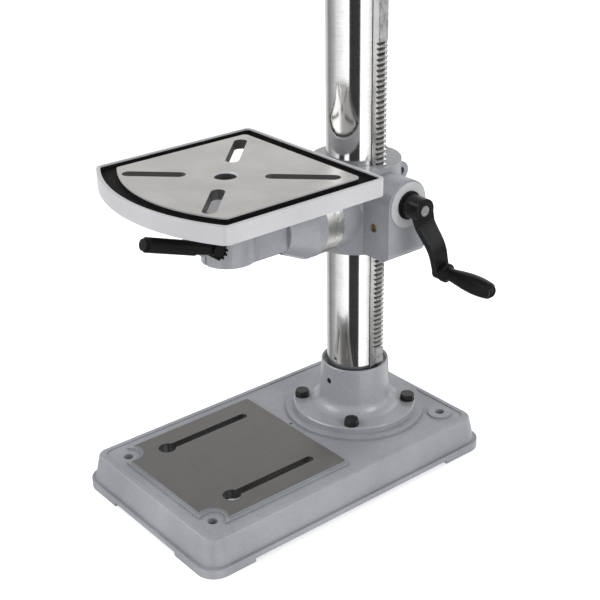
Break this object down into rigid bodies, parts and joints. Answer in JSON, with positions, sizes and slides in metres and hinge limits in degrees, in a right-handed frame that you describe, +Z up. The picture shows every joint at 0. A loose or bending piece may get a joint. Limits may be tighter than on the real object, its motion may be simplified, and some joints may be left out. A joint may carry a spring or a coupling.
{
  "type": "bench drill press",
  "caption": "Bench drill press: slotted cast base, round column with rack, crank-lifted tilting table, and a head with a hand-fed quill, chuck, covered belt drive and motor.",
  "frame": {"origin": "centre of the four bolt holes of the base, at floor level", "axes": "+Z up; -Y towards the operator, +Y towards the column and the motor; +X the operator's right, the side of the table's crank and the feed handles"},
  "size_m": [0.3499, 0.5595, 0.938],
  "materials": {
    "cast_paint": "textured grey enamel on rough cast iron",
    "table_iron": "ground working face, painted rim and trough",
    "polished_steel": "ground and polished",
    "machined_steel": "machined",
    "blackened_steel": "black oxide",
    "black_enamel": "satin black enamel",
    "black_plastic": "satin moulded plastic",
    "brass": "oiled",
    "zinc_steel": "zinc plated",
    "bearing_steel": "ground",
    "chuck_steel": "hard bright steel",
    "jaw_steel": "hardened",
    "spring_steel": "blued",
    "pulley_alloy": "turned",
    "belt_rubber": "matte",
    "cover_paint": "smooth grey enamel on sheet steel",
    "motor_paint": "satin dark enamel",
    "switch_red": "smooth"
  },
  "bodies": {
    "stand": {"base": "cast_paint", "column_foot": "cast_paint", "foot_bolts": "blackened_steel", "set_screws": "blackened_steel", "column": "polished_steel", "rack_ring": "cast_paint", "head_casting": "cast_paint", "pulley_bearing": "bearing_steel", "return_spring": "spring_steel", "spring_cap": "cover_paint", "belt": "belt_rubber", "cover_pan": "cover_paint", "hinge_pins": "zinc_steel", "motor_body": "motor_paint", "motor_end_covers": "motor_paint", "motor_mount": "cover_paint", "mount_bolts": "zinc_steel", "switch_box": "black_plastic", "cord_gland": "black_plastic"},
    "rack": {"rack": "machined_steel"},
    "bracket": {"table_bracket": "cast_paint", "gear_pin": "brass", "worm_bush": "machined_steel", "tilt_pointer": "zinc_steel", "tilt_bolt": "blackened_steel", "column_lock_screw": "blackened_steel"},
    "crank": {"worm_shaft": "polished_steel", "crank_arm": "black_enamel", "crank_set_screw": "blackened_steel", "crank_grip_bolt": "blackened_steel"},
    "lift_gear": {"lift_gear": "machined_steel"},
    "crank_grip": {"crank_grip": "black_plastic"},
    "column_lock_lever": {"column_lock_lever": "black_plastic"},
    "arm": {"table_arm": "cast_paint", "tilt_scale": "machined_steel", "table_lock_screw": "blackened_steel"},
    "table": {"table": "table_iron"},
    "table_lock_lever": {"table_lock_lever": "black_plastic"},
    "quill": {"quill": "polished_steel", "quill_bearings": "bearing_steel", "quill_collar": "machined_steel", "stop_rod": "polished_steel"},
    "feed": {"feed_shaft": "machined_steel", "feed_hub": "black_enamel", "feed_rods": "polished_steel", "feed_knobs": "black_plastic", "spring_nut": "zinc_steel"},
    "stop_nuts": {"stop_nuts": "zinc_steel"},
    "spindle_pulley": {"spindle_pulley": "pulley_alloy"},
    "spindle": {"spindle": "machined_steel", "chuck_body": "chuck_steel"},
    "rotor": {"motor_shaft": "machined_steel", "motor_pulley": "pulley_alloy"},
    "chuck_sleeve": {"chuck_sleeve": "chuck_steel"},
    "jaw_1": {"chuck_jaw_1": "jaw_steel"},
    "jaw_2": {"chuck_jaw_2": "jaw_steel"},
    "jaw_3": {"chuck_jaw_3": "jaw_steel"},
    "lid": {"cover_lid": "cover_paint", "lid_knob": "black_plastic"},
    "switch_paddle": {"switch_paddle": "switch_red"}
  },
  "joints": [
    {"name": "table_swing", "type": "hinge", "parent": "stand", "child": "rack", "pos_m": [0, 0.1145, 0.36], "axis": [0, 0, 1], "range_deg": [-180, 180]},
    {"name": "crank_turn", "type": "hinge", "parent": "bracket", "child": "crank", "pos_m": [0.09, 0.1145, 0.3575], "axis": [1, 0, 0], "range_deg": [-9167.32, 9740.28]},
    {"name": "table_height", "type": "slide", "parent": "rack", "child": "bracket", "axis": [0, 0, 1], "range_m": [-0.1601, 0.1701]},
    {"name": "lift_gear_turn", "type": "hinge", "parent": "bracket", "child": "lift_gear", "pos_m": [0.0654, 0.1145, 0.3275], "axis": [0, 1, 0], "range_deg": [-620, 530]},
    {"name": "grip_spin", "type": "hinge", "parent": "crank", "child": "crank_grip", "pos_m": [0.17, 0.1332, 0.2801], "axis": [1, 0, 0], "continuous": true},
    {"name": "column_lock", "type": "hinge", "parent": "bracket", "child": "column_lock_lever", "pos_m": [-0.038, 0.17, 0.368], "axis": [1, 0, 0], "range_deg": [-15, 80]},
    {"name": "table_tilt", "type": "hinge", "parent": "bracket", "child": "arm", "pos_m": [0, 0.02, 0.334], "axis": [0, 1, 0], "range_deg": [-45, 45]},
    {"name": "table_turn", "type": "hinge", "parent": "arm", "child": "table", "pos_m": [0, -0.0815, 0.36], "axis": [0, 0, 1], "range_deg": [-20, 20]},
    {"name": "table_lock", "type": "hinge", "parent": "arm", "child": "table_lock_lever", "pos_m": [0.028, -0.1215, 0.347], "axis": [1, 0, 0], "range_deg": [0, 70]},
    {"name": "quill_feed", "type": "slide", "parent": "stand", "child": "quill", "axis": [0, 0, -1], "range_m": [0, 0.065], "stiffness_N_per_m": 300, "springref_m": -0.25},
    {"name": "feed_turn", "type": "hinge", "parent": "stand", "child": "feed", "pos_m": [0, -0.0485, 0.762], "axis": [1, 0, 0], "range_deg": [-0.5, 311]},
    {"name": "stop_nut_travel", "type": "slide", "parent": "quill", "child": "stop_nuts", "axis": [0, 0, 1], "range_m": [-0.065, 0.006]},
    {"name": "spindle_pulley_spin", "type": "hinge", "parent": "stand", "child": "spindle_pulley", "pos_m": [0, -0.0815, 0.877], "axis": [0, 0, 1], "continuous": true},
    {"name": "spindle_spin", "type": "hinge", "parent": "quill", "child": "spindle", "pos_m": [0, -0.0815, 0.75], "axis": [0, 0, 1], "continuous": true},
    {"name": "motor_spin", "type": "hinge", "parent": "stand", "child": "rotor", "pos_m": [0, 0.246, 0.77], "axis": [0, 0, 1], "continuous": true},
    {"name": "chuck_turn", "type": "hinge", "parent": "spindle", "child": "chuck_sleeve", "pos_m": [0, -0.0815, 0.645], "axis": [0, 0, 1], "range_deg": [-2290, 1140]},
    {"name": "jaw_1_slide", "type": "slide", "parent": "spindle", "child": "jaw_1", "axis": [0, 0.2419, 0.9703], "range_m": [-0.0121, 0.0061]},
    {"name": "jaw_2_slide", "type": "slide", "parent": "spindle", "child": "jaw_2", "axis": [-0.2095, -0.121, 0.9703], "range_m": [-0.0121, 0.0061]},
    {"name": "jaw_3_slide", "type": "slide", "parent": "spindle", "child": "jaw_3", "axis": [0.2095, -0.121, 0.9703], "range_m": [-0.0121, 0.0061]},
    {"name": "lid_swing", "type": "hinge", "parent": "stand", "child": "lid", "pos_m": [-0.097, 0.085, 0.892], "axis": [0, -1, 0], "range_deg": [0, 100]},
    {"name": "switch_rock", "type": "hinge", "parent": "stand", "child": "switch_paddle", "pos_m": [-0.032, -0.1347, 0.775], "axis": [1, 0, 0], "range_deg": [-8, 0]}
  ],
  "couplings": [
    {"joint": "table_height", "follows": "crank_turn", "m_per_rad": 0.001},
    {"joint": "lift_gear_turn", "follows": "crank_turn", "ratio": -0.05},
    {"joint": "feed_turn", "follows": "quill_feed", "rad_per_m": 83.333},
    {"joint": "spindle_spin", "follows": "spindle_pulley_spin", "ratio": 1},
    {"joint": "motor_spin", "follows": "spindle_pulley_spin", "ratio": 1},
    {"joint": "jaw_1_slide", "follows": "chuck_turn", "m_per_rad": 0.0003},
    {"joint": "jaw_2_slide", "follows": "chuck_turn", "m_per_rad": 0.0003},
    {"joint": "jaw_3_slide", "follows": "chuck_turn", "m_per_rad": 0.0003}
  ]
}
